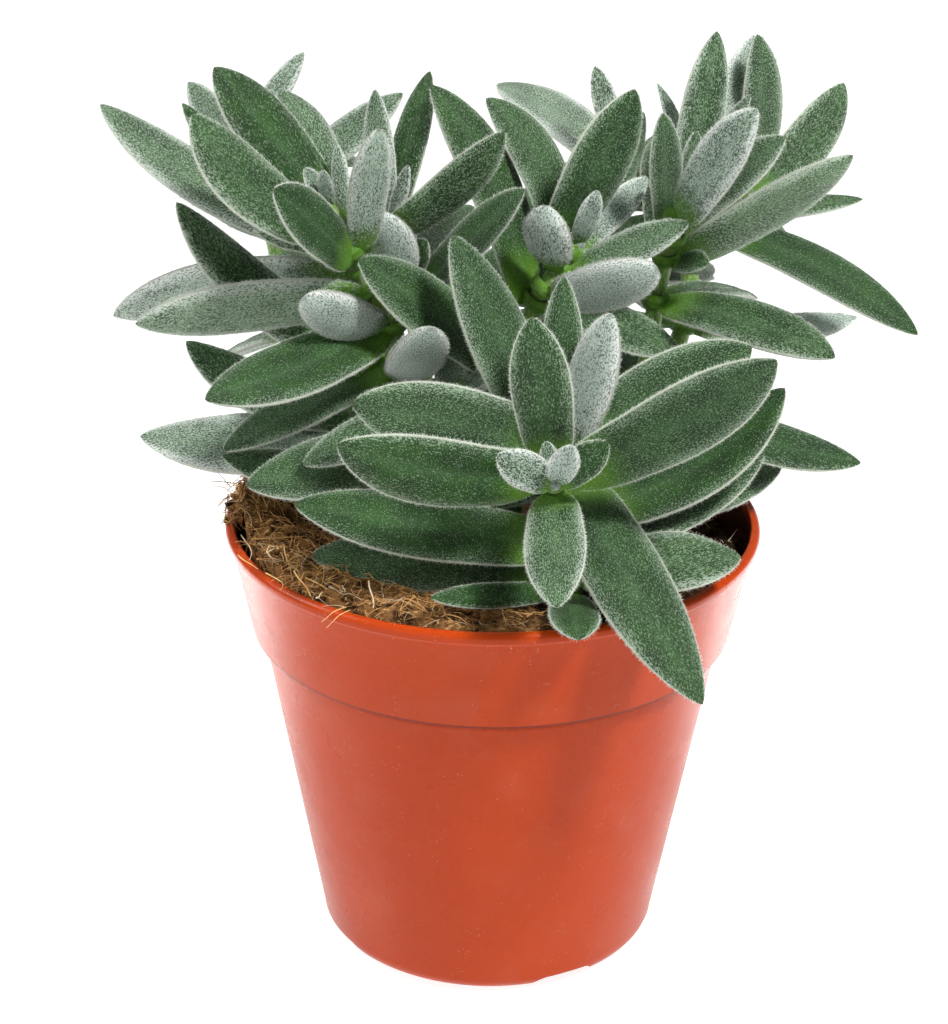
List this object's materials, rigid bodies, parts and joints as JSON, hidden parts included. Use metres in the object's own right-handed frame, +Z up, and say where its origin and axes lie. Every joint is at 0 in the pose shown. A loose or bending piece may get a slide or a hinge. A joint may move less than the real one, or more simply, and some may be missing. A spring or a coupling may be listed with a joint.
{
  "type": "potted succulent plant",
  "caption": "Hairy-leaved bushy crassula with rounded pointed leaves in opposite pairs on thin stems, rooted in coir in a round tapered plastic nursery pot with a deep collar",
  "frame": {"origin": "centre of the pot's underside, on the surface it stands on", "axes": "+Z up along the pot's axis, -Y towards the viewer (the side the front cutting nods to), +X to the viewer's right"},
  "size_m": [0.1296, 0.1225, 0.147],
  "materials": {
    "pot_plastic": "satin orange terracotta-coloured injection-moulded plastic with fine pale dust",
    "coir_substrate": "rough brown coir and peat with loose golden fibres",
    "stem_skin": "satin yellow-green skin with short white hairs",
    "leaf_skin": "velvety deep green, paler grey-green on young leaves and undersides, white hairs along the margins"
  },
  "bodies": {
    "root": {"pot": "pot_plastic", "substrate": "coir_substrate", "stem_front": "stem_skin", "stem_low_left": "stem_skin", "stem_left": "stem_skin", "stem_left_inner": "stem_skin", "stem_middle": "stem_skin", "stem_right": "stem_skin", "stem_back_left": "stem_skin", "stem_back_middle": "stem_skin", "stem_back_right": "stem_skin", "front_leaves_a": "leaf_skin", "front_leaves_b": "leaf_skin", "front_leaves_c": "leaf_skin", "front_leaves_d": "leaf_skin", "front_leaves_e": "leaf_skin", "front_leaves_f": "leaf_skin", "front_leaves_g": "leaf_skin", "front_leaves_h": "leaf_skin", "front_leaves_i": "leaf_skin", "low_left_leaves_a": "leaf_skin", "low_left_leaves_b": "leaf_skin", "low_left_leaves_c": "leaf_skin", "left_leaves_a": "leaf_skin", "left_leaves_b": "leaf_skin", "left_leaves_c": "leaf_skin", "left_leaves_d": "leaf_skin", "left_leaves_e": "leaf_skin", "left_leaves_f": "leaf_skin", "left_leaves_g": "leaf_skin", "left_leaves_h": "leaf_skin", "left_inner_leaves_a": "leaf_skin", "left_inner_leaves_b": "leaf_skin", "middle_leaves_a": "leaf_skin", "middle_leaves_b": "leaf_skin", "middle_leaves_c": "leaf_skin", "middle_leaves_d": "leaf_skin", "middle_leaves_e": "leaf_skin", "right_leaves_a": "leaf_skin", "right_leaves_b": "leaf_skin", "right_leaves_c": "leaf_skin", "right_leaves_d": "leaf_skin", "right_leaves_e": "leaf_skin", "back_left_leaves_a": "leaf_skin", "back_left_leaves_b": "leaf_skin", "back_middle_leaves_a": "leaf_skin", "back_middle_leaves_b": "leaf_skin", "back_right_leaves_a": "leaf_skin", "back_right_leaves_b": "leaf_skin", "back_right_leaves_c": "leaf_skin", "front_bud": "leaf_skin", "low_left_tip": "leaf_skin", "left_bud": "leaf_skin", "left_inner_bud": "leaf_skin", "middle_bud": "leaf_skin", "right_bud": "leaf_skin", "back_left_bud": "leaf_skin", "back_middle_bud": "leaf_skin", "back_right_bud": "leaf_skin"}
  },
  "joints": []
}
